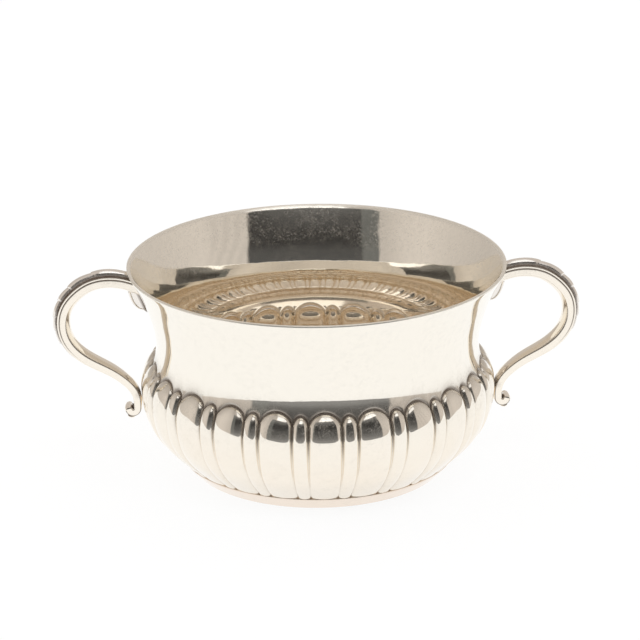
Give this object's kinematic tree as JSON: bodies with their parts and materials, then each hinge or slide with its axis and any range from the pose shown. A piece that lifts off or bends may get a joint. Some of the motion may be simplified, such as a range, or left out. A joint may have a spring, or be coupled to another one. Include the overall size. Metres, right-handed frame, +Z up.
{
  "type": "porringer",
  "caption": "Silver porringer with a flared plain neck, a lobed body on a low foot ring, and scroll handles at the sides with husk rails and leaf drops.",
  "frame": {"origin": "on the table, under the middle of the foot ring", "axes": "+X through the right-hand handle, +Z up along the bowl's axis, a broad lobe faces -Y"},
  "size_m": [0.174, 0.125, 0.0698],
  "materials": {
    "bowl_silver": "polished silver with light tarnish, darker warm tone low inside the bowl",
    "foot_silver": "polished silver",
    "handle_silver": "polished cast silver, tarnish in the hollows",
    "husk_silver": "polished cast silver, worn on the crests"
  },
  "bodies": {
    "root": {"bowl": "bowl_silver", "foot_ring": "foot_silver", "right_handle_strap": "handle_silver", "left_handle_strap": "handle_silver", "right_husk_rail": "husk_silver", "left_husk_rail": "husk_silver", "right_leaf_drop": "husk_silver", "left_leaf_drop": "husk_silver"}
  },
  "joints": []
}
